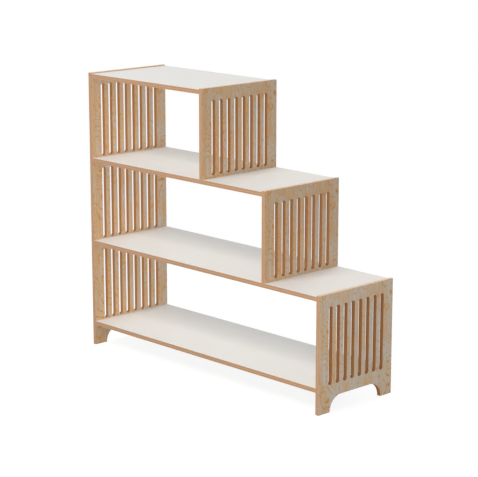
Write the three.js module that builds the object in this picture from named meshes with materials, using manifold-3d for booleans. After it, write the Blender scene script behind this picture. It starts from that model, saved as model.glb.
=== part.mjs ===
import * as THREE from 'three';
import { mergeVertices } from 'three/addons/utils/BufferGeometryUtils.js';
import Module from 'manifold-3d';

// A staircase bookshelf: four shelves, each wider than the one above it, between slotted side panels.
// Millimetres, +Z up and +X to the right. The front faces -Y.
// The origin is on the floor, under the middle of the whole bookshelf.

const wasm = await Module();
wasm.setup();

// Driving sizes of the carcass
const depth = 400;
const panelThickness = 16;
const coreThickness = 16;
const facingThickness = 0.75;
const bottomShelfHeight = 102;
const shelfPitch = 346;
const panelUpstand = 4;
const topBayWidth = 649;
const middleStepWidth = 325;
const lowStepWidth = 268;

// Slots in the panels: heights run from the top face of the shelf above or below
const slotWidth = 19;
const slotPitch = 40;
const slotEdgeMargin = 40;
const slotDropFromShelf = 44;
const slotRiseOnTallPanel = 4;
const slotRiseOnShortPanel = 12;

// Arch between the two feet of a panel that stands on the floor
const footWidth = 60;
const archRadius = 60;

// Gap that a fitted piece keeps all round, and how far a cutter runs past the face it starts from
const fitGap = 0.3;
const overrun = 2;

// Cam locks, pressed up into the shelves from below
const camRadius = 7.5;
const camHeight = 12.5;
const camSetback = 34;
const camInset = 50;
const driveSlotLength = 8;
const driveSlotWidth = 1.5;
const driveSlotDepth = 2.5;

// Cam bolts, screwed into the inner faces of the panels
const boltAxisHeight = 8;
const boltThreadRadius = 2.5;
const boltThreadLength = 11;
const boltTipChamfer = 0.8;
const boltBodyRadius = 3.5;
const boltBodyLength = 25;
const boltNeckRadius = 1.75;
const boltNeckLength = 5.5;
const boltHeadRadius = 3.25;
const boltHeadLength = 4.5;
const boltHeadRounding = 1;

// Beech dowels, one in the middle of each shelf end
const dowelRadius = 4;
const dowelChamfer = 0.8;
const dowelDepthInPanel = 10;
const dowelDepthInShelf = 20;

// Countersunk screws, up through a shelf into the panel that stands on it
const screwInset = 30;
const screwHeadRadius = 5;
const screwHeadHeight = 3;
const screwShankRadius = 3;
const screwThreadRadius = 2.5;
const screwThreadLength = 32;
const screwTipLength = 3;
const socketRadius = 2;
const socketDepth = 2.5;

// Sides of the round shapes
const camSides = 16;
const rodSides = 8;
const boreSides = 8;
const socketSides = 6;
const curveSegments = 4;

const shelfThickness = coreThickness + 2 * facingThickness;
const overallWidth = 4 * panelThickness + topBayWidth + middleStepWidth + lowStepWidth;
const leftFace = -overallWidth / 2;
const upperPanelX = leftFace + panelThickness + topBayWidth;
const middlePanelX = upperPanelX + panelThickness + middleStepWidth;
const lowerPanelX = middlePanelX + panelThickness + lowStepWidth;
const shelfStart = leftFace + panelThickness;

const quarterTurn = Math.PI / 2;

// Height of a shelf's top face. Level 0 is the bottom shelf and level 3 the top one.
function shelfTop(level) {
  return bottomShelfHeight + level * shelfPitch;
}

const panels = [
  { name: 'left_side_panel', x: leftFace, modules: [0, 1, 2], onFloor: true, innerFace: panelThickness },
  { name: 'upper_right_panel', x: upperPanelX, modules: [2], onFloor: false, innerFace: 0 },
  { name: 'middle_right_panel', x: middlePanelX, modules: [1], onFloor: false, innerFace: 0 },
  { name: 'lower_right_panel', x: lowerPanelX, modules: [0], onFloor: true, innerFace: 0 },
];

const [leftPanel, upperPanel, middlePanel, lowerPanel] = panels;

const shelves = [
  { name: 'top_shelf', level: 3, rightPanel: upperPanel, carries: null },
  { name: 'second_shelf', level: 2, rightPanel: middlePanel, carries: upperPanel },
  { name: 'third_shelf', level: 1, rightPanel: lowerPanel, carries: middlePanel },
  { name: 'bottom_shelf', level: 0, rightPanel: lowerPanel, carries: null },
];

// Front and rear places across the depth
const camPlaces = { front: -depth / 2 + camInset, rear: depth / 2 - camInset };
const screwPlaces = { front: -depth / 2 + screwInset, rear: depth / 2 - screwInset };

// Solids and cuts

function solidFrom(geometry) {
  const bare = geometry.index ? geometry.toNonIndexed() : geometry.clone();
  bare.deleteAttribute('normal');
  bare.deleteAttribute('uv');
  const merged = mergeVertices(bare);
  return new wasm.Manifold(
    new wasm.Mesh({
      numProp: 3,
      vertProperties: new Float32Array(merged.attributes.position.array),
      triVerts: new Uint32Array(merged.index.array),
    }),
  );
}

function geometryFrom(solid) {
  const mesh = solid.getMesh();
  const geometry = new THREE.BufferGeometry();
  geometry.setAttribute('position', new THREE.BufferAttribute(mesh.vertProperties, 3));
  geometry.setIndex(new THREE.BufferAttribute(mesh.triVerts, 1));
  geometry.computeVertexNormals();
  return geometry;
}

// What is left of a solid, or of a geometry, when the cutters are taken out of it
function cutAway(body, cutters) {
  let solid = body.isBufferGeometry ? solidFrom(body) : body;
  for (const cutter of cutters) {
    solid = solid.subtract(solidFrom(cutter));
  }
  return geometryFrom(solid);
}

// A block from one corner to the corner opposite
function block(lowX, lowY, lowZ, highX, highY, highZ) {
  const geometry = new THREE.BoxGeometry(highX - lowX, highY - lowY, highZ - lowZ);
  return geometry.translate((lowX + highX) / 2, (lowY + highY) / 2, (lowZ + highZ) / 2);
}

// A round bar along X between two places, about the axis through (y, z)
function barAlongX(radius, fromX, toX, y, z, sides) {
  const geometry = new THREE.CylinderGeometry(radius, radius, toX - fromX, sides);
  return geometry.rotateZ(quarterTurn).translate((fromX + toX) / 2, y, z);
}

// A round bar along Z between two heights, with a radius at each end
function barAlongZ(lowRadius, highRadius, x, y, lowZ, highZ, sides) {
  const geometry = new THREE.CylinderGeometry(highRadius, lowRadius, highZ - lowZ, sides);
  return geometry.rotateX(quarterTurn).translate(x, y, (lowZ + highZ) / 2);
}

// Radius at the corners of a bore with flat sides, so that its flats clear a round piece by the fit gap
function boreRadius(radius, sides) {
  return (radius + fitGap) / Math.cos(Math.PI / sides);
}

// A turned piece from a profile of [radius, distance] pairs that starts and ends on its axis, which is +Y
function turned(profile) {
  const points = profile.map(([radius, along]) => new THREE.Vector2(radius, along));
  return cutAway(new THREE.LatheGeometry(points, rodSides), []);
}

// Side panels, drawn in the plane of depth and height and given their thickness along X

function panelBase(panel) {
  return panel.onFloor ? 0 : shelfTop(panel.modules[0]);
}

function panelTop(panel) {
  return shelfTop(panel.modules.at(-1) + 1) + panelUpstand;
}

function panelOutline(panel) {
  const outline = new THREE.Shape();
  const height = panelTop(panel) - panelBase(panel);
  outline.moveTo(-depth / 2, height);
  outline.lineTo(-depth / 2, 0);
  if (panel.onFloor) {
    const archCentre = depth / 2 - footWidth - archRadius;
    outline.lineTo(-depth / 2 + footWidth, 0);
    outline.absarc(-archCentre, 0, archRadius, Math.PI, quarterTurn, true);
    outline.absarc(archCentre, 0, archRadius, quarterTurn, 0, true);
  }
  outline.lineTo(depth / 2, 0);
  outline.lineTo(depth / 2, height);
  outline.closePath();
  return outline;
}

function slotHole(y, low, high) {
  const radius = slotWidth / 2;
  const hole = new THREE.Path();
  hole.absarc(y, high - radius, radius, 0, Math.PI, false);
  hole.absarc(y, low + radius, radius, Math.PI, 2 * Math.PI, false);
  hole.closePath();
  return hole;
}

function slotHoles(panel) {
  const rise = panel.onFloor ? slotRiseOnTallPanel : slotRiseOnShortPanel;
  const room = depth - 2 * slotEdgeMargin - slotWidth;
  const count = Math.floor(room / slotPitch) + 1;
  const holes = [];
  for (const level of panel.modules) {
    const low = shelfTop(level) + rise - panelBase(panel);
    const high = shelfTop(level + 1) - slotDropFromShelf - panelBase(panel);
    for (let index = 0; index < count; index += 1) {
      holes.push(slotHole((index - (count - 1) / 2) * slotPitch, low, high));
    }
  }
  return holes;
}

// Blind bores for the bolts and the dowel of one shelf end, in the inner face of a panel
function shelfBores(panel, shelf) {
  const z = shelfTop(shelf.level) - shelfThickness + boltAxisHeight - panelBase(panel);
  const inward = panel.innerFace > 0 ? -1 : 1;
  const bores = [];
  const bore = (radius, boreDepth, y) => {
    const ends = [panel.innerFace - inward * overrun, panel.innerFace + inward * (boreDepth + fitGap)];
    bores.push(barAlongX(boreRadius(radius, boreSides), Math.min(...ends), Math.max(...ends), y, z, boreSides));
  };
  for (const y of Object.values(camPlaces)) {
    bore(boltThreadRadius, boltThreadLength, y);
  }
  bore(dowelRadius, dowelDepthInPanel, 0);
  return bores;
}

// Upright bores in the foot of a panel that stands on a shelf
function footBores() {
  const boreDepth = screwThreadLength + fitGap;
  const radius = boreRadius(screwThreadRadius, boreSides);
  return Object.values(screwPlaces).map((y) =>
    barAlongZ(radius, radius, panelThickness / 2, y, -overrun, boreDepth, boreSides),
  );
}

function panelGeometry(panel) {
  const outline = panelOutline(panel);
  outline.holes = slotHoles(panel);
  const settings = { depth: panelThickness, bevelEnabled: false, curveSegments };
  const plate = new THREE.ExtrudeGeometry(outline, settings);
  plate.rotateX(quarterTurn).rotateZ(quarterTurn);
  const fitted = shelves.filter((shelf) => panel === leftPanel || shelf.rightPanel === panel);
  const cutters = fitted.flatMap((shelf) => shelfBores(panel, shelf));
  if (!panel.onFloor) {
    cutters.push(...footBores());
  }
  return cutAway(plate, cutters);
}

// Shelves: the frame of each has its left end at x = 0 and its top face at z = 0

function shelfLength(shelf) {
  return shelf.rightPanel.x - shelfStart;
}

// The two ends of a shelf, with the direction that leads into the shelf
function shelfEnds(shelf) {
  return [
    { side: 'left', x: 0, inward: 1 },
    { side: 'right', x: shelfLength(shelf), inward: -1 },
  ];
}

// Every cam of a shelf, with the end that it draws tight
function camStations(shelf) {
  return shelfEnds(shelf).flatMap((end) =>
    Object.entries(camPlaces).map(([place, y]) => ({ ...end, place, y, camX: end.x + end.inward * camSetback })),
  );
}

function screwStations(shelf) {
  const x = shelf.carries.x + panelThickness / 2 - shelfStart;
  return Object.entries(screwPlaces).map(([place, y]) => ({ place, x, y }));
}

function camBore(station) {
  const radius = boreRadius(camRadius, camSides);
  const low = -shelfThickness - overrun;
  const high = -shelfThickness + camHeight + fitGap;
  return barAlongZ(radius, radius, station.camX, station.y, low, high, camSides);
}

function boltBore(station) {
  const ends = [station.x - station.inward * overrun, station.camX];
  const z = -shelfThickness + boltAxisHeight;
  const radius = boreRadius(boltBodyRadius, boreSides);
  return barAlongX(radius, Math.min(...ends), Math.max(...ends), station.y, z, boreSides);
}

function dowelBore(end) {
  const ends = [end.x - end.inward * overrun, end.x + end.inward * (dowelDepthInShelf + fitGap)];
  const z = -shelfThickness + boltAxisHeight;
  const radius = boreRadius(dowelRadius, boreSides);
  return barAlongX(radius, Math.min(...ends), Math.max(...ends), 0, z, boreSides);
}

// Clearance hole and countersink of one screw, through the whole shelf
function screwBores(station) {
  const { x, y } = station;
  const shank = boreRadius(screwShankRadius, boreSides);
  const head = boreRadius(screwHeadRadius, boreSides);
  const headTop = -shelfThickness + screwHeadHeight + fitGap;
  const mouth = -shelfThickness + fitGap;
  return [
    barAlongZ(shank, shank, x, y, -shelfThickness - overrun, overrun, boreSides),
    barAlongZ(head, shank, x, y, mouth, headTop, boreSides),
    barAlongZ(head, head, x, y, -shelfThickness - overrun, mouth, boreSides),
  ];
}

function shelfCutters(shelf) {
  const stations = camStations(shelf);
  return [
    ...stations.map(camBore),
    ...stations.map(boltBore),
    ...shelfEnds(shelf).map(dowelBore),
    ...(shelf.carries ? screwStations(shelf).flatMap(screwBores) : []),
  ];
}

// The plain plate of a layer. Under a carried panel it joins two lengths that overlap there, so that
// the open step beyond the panel is a face of its own.
function layerPlate(shelf, lowZ, highZ) {
  const length = (fromX, toX) => solidFrom(block(fromX, -depth / 2, lowZ, toX, depth / 2, highZ));
  if (!shelf.carries) {
    return length(0, shelfLength(shelf));
  }
  const footStart = shelf.carries.x - shelfStart;
  return length(0, footStart + panelThickness).add(length(footStart, shelfLength(shelf)));
}

// A layer of a shelf between two heights, with every bore that reaches it
function shelfLayer(shelf, lowZ, highZ) {
  return cutAway(layerPlate(shelf, lowZ, highZ), shelfCutters(shelf));
}

// Fittings

// The cam's axis is Z and its lower face, with the driver's cross slot, is at z = 0.
// The pocket for the bolt's head opens towards -X.
function camGeometry() {
  const body = barAlongZ(camRadius, camRadius, 0, 0, 0, camHeight, camSides);
  const pocketRadius = boreRadius(boltHeadRadius, boreSides);
  const pocketEnd = boltHeadEnd() - camSetback + fitGap;
  const half = driveSlotLength / 2;
  const halfWidth = driveSlotWidth / 2;
  return cutAway(body, [
    barAlongX(pocketRadius, -camRadius - overrun, pocketEnd, 0, boltAxisHeight, boreSides),
    block(-half, -halfWidth, -overrun, half, halfWidth, driveSlotDepth),
    block(-halfWidth, -half, -overrun, halfWidth, half, driveSlotDepth),
  ]);
}

// How far the bolt's head reaches into the shelf
function boltHeadEnd() {
  return fitGap + boltBodyLength + boltNeckLength + boltHeadLength;
}

// The bolt's axis is Y: the thread is below the face of the panel at y = 0 and the head above it
function boltGeometry() {
  const bodyEnd = fitGap + boltBodyLength;
  const neckEnd = bodyEnd + boltNeckLength;
  return turned([
    [0, -boltThreadLength],
    [boltThreadRadius - boltTipChamfer, -boltThreadLength],
    [boltThreadRadius, -boltThreadLength + boltTipChamfer],
    [boltThreadRadius, fitGap],
    [boltBodyRadius, fitGap],
    [boltBodyRadius, bodyEnd],
    [boltNeckRadius, bodyEnd],
    [boltNeckRadius, neckEnd],
    [boltHeadRadius, neckEnd + boltHeadRounding],
    [boltHeadRadius, boltHeadEnd() - boltHeadRounding],
    [boltHeadRadius - boltHeadRounding, boltHeadEnd()],
    [0, boltHeadEnd()],
  ]);
}

// The dowel's axis is Y, with the joint between panel and shelf at y = 0
function dowelGeometry() {
  return turned([
    [0, -dowelDepthInPanel],
    [dowelRadius - dowelChamfer, -dowelDepthInPanel],
    [dowelRadius, -dowelDepthInPanel + dowelChamfer],
    [dowelRadius, dowelDepthInShelf - dowelChamfer],
    [dowelRadius - dowelChamfer, dowelDepthInShelf],
    [0, dowelDepthInShelf],
  ]);
}

// The screw's axis is Z and the flat of its head, with the socket, is at z = 0
function screwGeometry() {
  const shankEnd = shelfThickness - fitGap;
  const tip = shelfThickness + screwThreadLength - fitGap;
  const body = turned([
    [0, 0],
    [screwHeadRadius, 0],
    [screwShankRadius, screwHeadHeight],
    [screwShankRadius, shankEnd],
    [screwThreadRadius, shankEnd],
    [screwThreadRadius, tip - screwTipLength],
    [0, tip],
  ]);
  body.rotateX(quarterTurn);
  return cutAway(body, [barAlongZ(socketRadius, socketRadius, 0, 0, -overrun, socketDepth, socketSides)]);
}

// Materials

function birchPlywood() {
  return new THREE.MeshStandardMaterial({ color: 0xc4a987, roughness: 0.6, metalness: 0 });
}

function whiteLaminate() {
  return new THREE.MeshStandardMaterial({ color: 0xe9e7e3, roughness: 0.45, metalness: 0 });
}

function beech() {
  return new THREE.MeshStandardMaterial({ color: 0xd2a679, roughness: 0.7, metalness: 0 });
}

function zinc() {
  return new THREE.MeshStandardMaterial({ color: 0xb4b6b8, roughness: 0.4, metalness: 1 });
}

// Assembly

function named(name, geometry, material) {
  const mesh = new THREE.Mesh(geometry, material);
  mesh.name = name;
  return mesh;
}

function addPanels(bookshelf) {
  for (const panel of panels) {
    const mesh = named(panel.name, panelGeometry(panel), birchPlywood());
    mesh.position.set(panel.x, 0, panelBase(panel));
    bookshelf.add(mesh);
  }
}

// The three layers of a shelf, pressed into one board
function addLayers(group, shelf) {
  const coreLow = -shelfThickness + facingThickness;
  group.add(named(`${shelf.name}_core`, shelfLayer(shelf, coreLow, -facingThickness), birchPlywood()));
  group.add(named(`${shelf.name}_upper_facing`, shelfLayer(shelf, -facingThickness, 0), whiteLaminate()));
  group.add(named(`${shelf.name}_lower_facing`, shelfLayer(shelf, -shelfThickness, coreLow), whiteLaminate()));
}

// A piece made along +Y is laid along X, pointing into the shelf
function layAlongX(mesh, inward) {
  mesh.rotation.z = -inward * quarterTurn;
}

function addEndFittings(group, shelf) {
  const axisZ = -shelfThickness + boltAxisHeight;
  for (const station of camStations(shelf)) {
    const prefix = `${shelf.name}_${station.side}_${station.place}`;
    const cam = named(`${prefix}_cam_lock`, camGeometry(), zinc());
    cam.position.set(station.camX, station.y, -shelfThickness);
    cam.rotation.z = station.inward > 0 ? 0 : Math.PI;
    const bolt = named(`${prefix}_cam_bolt`, boltGeometry(), zinc());
    bolt.position.set(station.x, station.y, axisZ);
    layAlongX(bolt, station.inward);
    group.add(cam, bolt);
  }
  for (const end of shelfEnds(shelf)) {
    const dowel = named(`${shelf.name}_${end.side}_dowel`, dowelGeometry(), beech());
    dowel.position.set(end.x, 0, axisZ);
    layAlongX(dowel, end.inward);
    group.add(dowel);
  }
}

function addScrews(group, shelf) {
  for (const station of screwStations(shelf)) {
    const screw = named(`${shelf.carries.name}_${station.place}_screw`, screwGeometry(), zinc());
    screw.position.set(station.x, station.y, -shelfThickness);
    group.add(screw);
  }
}

function shelfGroup(shelf) {
  const group = new THREE.Group();
  group.position.set(shelfStart, 0, shelfTop(shelf.level));
  addLayers(group, shelf);
  addEndFittings(group, shelf);
  if (shelf.carries) {
    addScrews(group, shelf);
  }
  return group;
}

const bookshelf = new THREE.Group();
addPanels(bookshelf);
shelves.forEach((shelf) => bookshelf.add(shelfGroup(shelf)));

export default bookshelf;
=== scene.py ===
"""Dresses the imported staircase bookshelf: slotted birch panels, white faced shelves and their fittings.

Every length is in metres. The frame's axes are X to the right, Y to the rear and Z up from the floor.
"""

import math
from typing import NamedTuple

import bpy
import numpy as np
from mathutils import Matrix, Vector
from mathutils.geometry import tessellate_polygon


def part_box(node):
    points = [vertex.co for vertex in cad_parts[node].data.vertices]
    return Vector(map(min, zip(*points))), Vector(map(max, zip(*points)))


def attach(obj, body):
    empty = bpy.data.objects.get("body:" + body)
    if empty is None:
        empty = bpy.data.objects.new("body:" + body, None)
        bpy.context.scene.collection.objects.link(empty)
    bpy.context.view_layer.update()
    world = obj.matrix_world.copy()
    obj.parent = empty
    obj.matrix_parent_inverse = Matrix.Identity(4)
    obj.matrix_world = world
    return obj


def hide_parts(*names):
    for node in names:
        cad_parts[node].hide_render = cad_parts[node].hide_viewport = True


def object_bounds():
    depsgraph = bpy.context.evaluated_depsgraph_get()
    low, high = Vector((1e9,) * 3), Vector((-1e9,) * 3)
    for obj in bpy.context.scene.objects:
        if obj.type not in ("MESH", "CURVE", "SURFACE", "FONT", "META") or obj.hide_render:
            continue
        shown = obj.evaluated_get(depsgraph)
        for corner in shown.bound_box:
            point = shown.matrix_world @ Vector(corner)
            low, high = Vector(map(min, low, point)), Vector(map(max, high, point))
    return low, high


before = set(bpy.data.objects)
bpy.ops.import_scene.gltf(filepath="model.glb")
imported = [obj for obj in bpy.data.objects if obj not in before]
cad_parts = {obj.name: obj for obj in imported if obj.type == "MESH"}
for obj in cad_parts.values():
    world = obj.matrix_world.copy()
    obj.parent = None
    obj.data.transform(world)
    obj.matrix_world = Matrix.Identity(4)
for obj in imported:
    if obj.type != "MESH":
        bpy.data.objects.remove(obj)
cad_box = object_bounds()

bl_info = {
    "name": "Staircase Bookshelf",
    "version": (1, 0, 0),
    "blender": (4, 5, 0),
    "location": "3D Viewport > Sidebar > Bookshelf",
    "description": "Builds the looks of a staircase bookshelf over its packed CAD frame",
    "category": "Add Mesh",
}

# Names of the frame's nodes, and the words that they are made of
SHELVES = ("top_shelf", "second_shelf", "third_shelf", "bottom_shelf")
PANELS = ("left_side_panel", "upper_right_panel", "middle_right_panel", "lower_right_panel")
CARRIED_PANELS = {"second_shelf": "upper_right_panel", "third_shelf": "middle_right_panel"}
PLACES = ("front", "rear")
SHELF_ENDS = [f"{shelf}_{end}" for shelf in SHELVES for end in ("left", "right")]
CAM_LOCKS = [f"{end}_{place}_cam_lock" for end in SHELF_ENDS for place in PLACES]
CAM_BOLTS = [f"{end}_{place}_cam_bolt" for end in SHELF_ENDS for place in PLACES]
DOWELS = [f"{end}_dowel" for end in SHELF_ENDS]
SCREWS = [f"{panel}_{place}_screw" for panel in CARRIED_PANELS.values() for place in PLACES]

# Places of a board's finishes in its list of materials, and the map that holds its patterns
# The top edge's finish is the cut edge's plies made lighter: painted light from above
FACE, CUT_EDGE, ROUTED_EDGE, LIT_TOP_EDGE = range(4)
PATTERN_MAP = "board"

# Lengths below this one count as nothing, and so does this share of an area
TOUCHING = 1e-6
SPARE_AREA_SHARE = 1e-4

# Straight pieces in a quarter round, sides of a full round, and rings along a thread
ARRIS_STEPS = 4
ARCH_STEPS = 24
SLOT_STEPS = 12
BORE_SIDES = 24
FACING_HOLE_SIDES = 48
BOLT_SIDES = 24
SCREW_SIDES = 48
DOWEL_SIDES = 96
BOLT_THREAD_RINGS = 64
SCREW_THREAD_RINGS = 150

# Shift of the pattern along the depth, from a panel's right face to its left face
OTHER_FACE_SHIFT = 1.0

# Edges that turn by more than this stay sharp, and those of a cam get a bevel
SHARP_ANGLE = math.radians(40)

# Root of each thread as a share of its crest, and the screws' pitch as a share of the bolts'
BOLT_ROOT_SHARE = 0.78
SCREW_ROOT_SHARE = 0.68
SCREW_PITCH_SHARE = 1.4

# Small sizes of the cam bolts. Each ring of the crown has its distance below the end and in from the side.
BOLT_BEVEL = 0.0004
BOLT_RUN_IN = 0.0006
BOLT_SHOULDER_STEP = 0.0001
BOLT_HEAD_SHOULDER = 0.0009
BOLT_HEAD_CROWN = ((0.001, 0), (0.0003, 0.0004), (0, 0.0013))

# Small sizes and counts of the screws, the dowels and the cams
SCREW_BEVEL = 0.0002
SCREW_HEAD_RIM = 0.00025
SCREW_RUN_IN = 0.0005
SCREW_TIP_RADIUS = 0.0003
DOWEL_CHAMFER = 0.0008
DOWEL_FLUTES = 16
CAM_BEVEL = 0.0003
CAM_BEVEL_SEGMENTS = 2

# Painted light and shade of each panel's veneer and of its routed edges, in red, green and blue: each is
# made lighter or darker for the light that falls on that panel; and how much warmer the veneer is at its
# front edge and at its rear edge
BIRCH_LIGHT_SHADE_SHARES = {
    "left_side_panel": (1.08, 1.05, 1.02),
    "upper_right_panel": (0.94, 0.89, 0.84),
    "middle_right_panel": (0.93, 0.88, 0.83),
    "lower_right_panel": (1.06, 1.07, 1.08),
}
ROUTED_LIGHT_SHADE_SHARES = {
    "left_side_panel": (1.33, 1.45, 1.45),
    "upper_right_panel": (1.06, 1.1, 1.08),
    "middle_right_panel": (1.08, 1.16, 1.18),
    "lower_right_panel": (0.9, 0.88, 0.76),
}
BIRCH_WARMTH_SHARES = {
    "left_side_panel": (0.12, -0.02),
    "upper_right_panel": (0.08, -0.03),
    "middle_right_panel": (0.08, -0.03),
    "lower_right_panel": (0.02, -0.05),
}


class Noise(NamedTuple):
    """A noise: its repeats in a metre each way, its start and its fineness.

    While its value goes through the range of the fade, what comes out goes through that of the result.
    """

    repeats: tuple
    start: tuple = (0, 0, 0)
    detail: float = 2.0
    roughness: float = 0.5
    fade: tuple = (0.0, 1.0)
    result: tuple = (0.0, 1.0)


# Birch faces. A place on one is its run from front to rear, and then its height from the top edge.
FIGURE_NOISE = Noise((9, 7, 1), start=(3.1, 1.7, 0), detail=0.0)
FIGURE_BREAKS = Noise((70, 45, 1), start=(7, 2, 0), fade=(0.4, 0.54), result=(0.05, 1.0))
SQUIGGLE_NOISE = Noise((24, 17, 1), start=(5.3, 8.1, 0), detail=1.0)
SQUIGGLE_SPOTS = Noise((26, 20, 1), start=(2, 9, 0), detail=1.0, fade=(0.53, 0.63), result=(0.0, 0.9))
BIRCH_MOTTLE = Noise((17, 9, 1), start=(1, 5, 0), detail=3.0)
BIRCH_BANDS = Noise((95, 3, 1), detail=3.0, fade=(0.38, 0.62))
BIRCH_GRAIN = Noise((420, 20, 1), detail=3.0, roughness=0.6, fade=(0.35, 0.65))

# Middle, reach and number of rings of each place that the figure runs round
FIGURE_HILLS = (
    ((-0.127, -0.06), (0.055, 0.06), 3.2),
    ((-0.145, -0.37), (0.075, 0.14), 6.5),
    ((0.2, -0.22), (0.05, 0.065), 3.6),
    ((0.17, -0.05), (0.05, 0.035), 2.4),
)

# How often and how far the figure is shaken
SHAKE_REPEATS = 120
SHAKE_REACH = 0.007

# Level lines in a noise's height, and the shares of their spacing where a line is full and where it ends
FIGURE_RINGS = 11
SQUIGGLE_RINGS = 6
FIGURE_LINE_SHARES = (0.04, 0.13)
SQUIGGLE_LINE_SHARES = (0.03, 0.15)

# Where along the depth the figure is faint, and how far from there it starts to grow and is strong
FIGURE_MIDDLE = 0.03
FIGURE_FADE = (0.03, 0.15)
FIGURE_FADE_SHARES = (0.4, 1.0)

# Values between which the birch turns warm in patches and over all, and how much of the grain shows
PATCH_SHARES = (0.4, 0.6)
WARM_SHARES = (0.3, 1.7)
GRAIN_SHARE = 0.3

# Plywood edges. A place on one is its depth into the board, and then its run along the edge.
# The plies cut across the grain make a share of the darkness, and broad bands make the rest.
PLY_COUNT = 9
PLY_BANDS = 2
CROSS_PLY_SHARE = 0.4
PLY_STREAKS = Noise((1500, 26, 1), detail=3.0, roughness=0.6)
PLY_PORES = Noise((1100, 1100, 1), roughness=0.6)
PLY_TEXTURE_FADE = (0.35, 0.7, 0.0, 0.3)
GLUE_FADE = (0.455, 0.49, 0.0, 0.5)

# Facings, metal and dowels
LAMINATE_MOTTLE = Noise((14, 14, 14), detail=3.0, fade=(0.3, 0.7), result=(0.0, 0.05))
LAMINATE_GLOSS = Noise((60, 60, 60), fade=(0.3, 0.7), result=(-0.04, 0.05))
LAMINATE_PEEL = Noise((1400, 1400, 1400), detail=1.0)
ZINC_CLOUDS = Noise((320, 320, 320), detail=4.0, fade=(0.3, 0.7), result=(0.0, 0.35))
ZINC_GLOSS = Noise((900, 900, 900), fade=(0.3, 0.7), result=(-0.09, 0.13))
ZINC_SCRATCHES = Noise((2500, 2500, 2500))
BEECH_FLECKS = Noise((260, 2600, 2600), fade=(0.5, 0.72), result=(0.0, 0.5))


class Finish(NamedTuple):
    """How a surface reflects light, and how deep its fine relief is."""

    roughness: float
    specular: float
    relief: float
    metallic: float = 0.0


BIRCH_FINISH = Finish(roughness=0.6, specular=0.15, relief=0.00003)
CUT_PLY_FINISH = Finish(roughness=0.5, specular=0.35, relief=0.00004)
ROUTED_PLY_FINISH = Finish(roughness=0.7, specular=0.35, relief=0.00004)
LAMINATE_FINISH = Finish(roughness=0.5, specular=0.06, relief=0.000006)
ZINC_FINISH = Finish(roughness=0.35, specular=0.5, relief=0.000008, metallic=1.0)
BEECH_FINISH = Finish(roughness=0.7, specular=0.25, relief=0.00003)

# Stage. The floor is plain white beyond the end of its fade.
WHITE = (1.0, 1.0, 1.0)
FLOOR_HALF_WIDTH = 60.0
FLOOR_FADE = (1.0, 2.2)
FLOOR_LIT_GREY = 0.22
FLOOR_GLOW = 0.86
SENSOR_WIDTH_MM = 36.0
CAMERA_REACH = 200.0
LAMP_AIM_HEIGHT = 0.5

# Turn to the right of the front and rise above the level of each lamp, in degrees
LAMP_PLACES = {
    "front_lamp": (0, 48),
    "corner_lamp": (40, 4),
    "back_lamp": (194, 22),
    "side_lamp": (262, 6),
}


# Settings that a user would change


def metres(name, description, default):
    return bpy.props.FloatProperty(name=name, description=description, default=default, unit="LENGTH")


def watts(name, description, default):
    return bpy.props.FloatProperty(name=name, description=description, default=default, unit="POWER")


def amount(name, description, default):
    return bpy.props.FloatProperty(name=name, description=description, default=default, subtype="FACTOR")


def tint(name, description, default):
    return bpy.props.FloatVectorProperty(
        name=name, description=description, default=default, subtype="COLOR", min=0, max=1
    )


class BoardSizes(bpy.types.PropertyGroup):
    """Sizes of the boards that the frame's boxes don't tell."""

    slot_width: metres("Slot width", "Width of an upright slot", 0.019)
    slot_pitch: metres("Slot pitch", "Distance between the middles of two slots", 0.04)
    slot_edge_margin: metres("Slot margin", "Least board left in front of the slots", 0.04)
    slot_drop: metres("Slot drop", "From a shelf's top face down to the slots below it", 0.044)
    slot_rise_tall: metres(
        "Slot rise, tall panel", "From a shelf's top face up to the slots of a panel on the floor", 0.004
    )
    slot_rise_short: metres(
        "Slot rise, short panel", "From a shelf's top face up to the slots of a panel on it", 0.012
    )
    foot_width: metres("Foot width", "Width of a foot beside the arch", 0.06)
    arch_height: metres("Arch height", "Height of the arch in a floor panel", 0.06)
    panel_arris: metres("Panel arris", "Rounding of the plywood panels' edges", 0.0003)
    facing_arris: metres("Facing arris", "Rounding of the white facings' edges", 0.00025)


class FittingSizes(bpy.types.PropertyGroup):
    """Sizes of the hidden fittings."""

    fit_gap: metres("Fit gap", "Room that a fitting keeps in its bore", 0.0003)
    bolt_thread_radius: metres("Bolt thread radius", "Outer radius of the cam bolts' thread", 0.0025)
    bolt_thread_length: metres("Bolt thread length", "Length of the thread in the panel", 0.011)
    bolt_body_length: metres("Bolt body length", "Length of the plain part of a cam bolt", 0.025)
    bolt_neck_radius: metres("Bolt neck radius", "Radius of the neck behind the head", 0.00175)
    bolt_neck_length: metres("Bolt neck length", "Length of the neck behind the head", 0.0055)
    bolt_head_radius: metres("Bolt head radius", "Radius of the head that the cam holds", 0.00325)
    bolt_head_length: metres("Bolt head length", "Length of the head that the cam holds", 0.0045)
    screw_head_radius: metres("Screw head radius", "Radius of the countersunk head", 0.005)
    screw_head_height: metres("Screw head height", "Height of the countersunk head", 0.003)
    screw_shank_radius: metres("Screw shank radius", "Radius of the plain shank", 0.003)
    screw_thread_radius: metres("Screw thread radius", "Outer radius of the screws' thread", 0.0025)
    screw_tip_length: metres("Screw tip length", "Length of the pointed tip", 0.003)
    socket_radius: metres("Socket radius", "Half the width across the socket's flats", 0.0017)
    socket_depth: metres("Socket depth", "Depth of the hexagon socket", 0.0025)
    thread_pitch: metres("Thread pitch", "Distance between two turns of a bolt's thread", 0.0016)
    flute_depth: metres("Flute depth", "Depth of the grooves along a dowel", 0.0003)


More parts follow.
